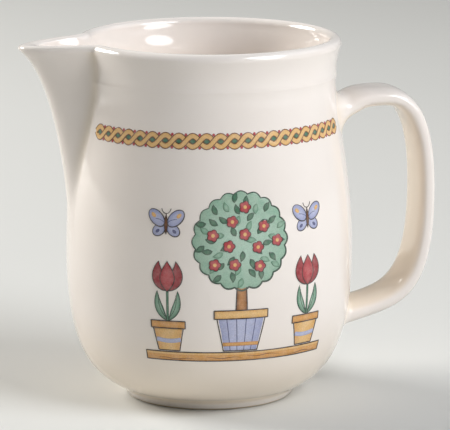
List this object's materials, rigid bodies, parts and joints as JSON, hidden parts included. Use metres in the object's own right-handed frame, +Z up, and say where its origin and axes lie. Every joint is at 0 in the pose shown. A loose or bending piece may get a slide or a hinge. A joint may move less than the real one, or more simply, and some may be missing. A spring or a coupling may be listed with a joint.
{
  "type": "creamer jug",
  "caption": "Bellied glazed ceramic creamer with a flared rim, V-shaped pouring beak, strap handle, foot ring and printed garden decoration.",
  "frame": {"origin": "under the middle of the whole length, on the surface that the foot ring stands on; the pot's own axis is 5.95 mm towards the beak", "axes": "+Z up, +X towards the handle, -X towards the pouring beak, Y across"},
  "size_m": [0.1324, 0.091, 0.114],
  "materials": {
    "cream_glaze": "gloss cream glaze",
    "foot_clay": "wiped foot, bare clay on the standing face",
    "honey_print": "fired-on print",
    "wood_print": "fired-on print",
    "green_print": "fired-on print",
    "red_print": "fired-on print",
    "blue_print": "fired-on print"
  },
  "bodies": {
    "root": {"pot_wall": "cream_glaze", "rim_collar": "cream_glaze", "pouring_beak": "cream_glaze", "foot_ring": "foot_clay", "strap_handle": "cream_glaze", "upper_slip_joint": "cream_glaze", "lower_slip_joint": "cream_glaze", "border_band_print_front": "honey_print", "shelf_print_front": "wood_print", "potted_tree_print_front": "green_print", "left_tulip_pot_print_front": "red_print", "right_tulip_pot_print_front": "red_print", "left_butterfly_print_front": "blue_print", "right_butterfly_print_front": "blue_print", "border_band_print_back": "honey_print", "shelf_print_back": "wood_print", "potted_tree_print_back": "green_print", "left_tulip_pot_print_back": "red_print", "right_tulip_pot_print_back": "red_print", "left_butterfly_print_back": "blue_print", "right_butterfly_print_back": "blue_print"}
  },
  "joints": []
}
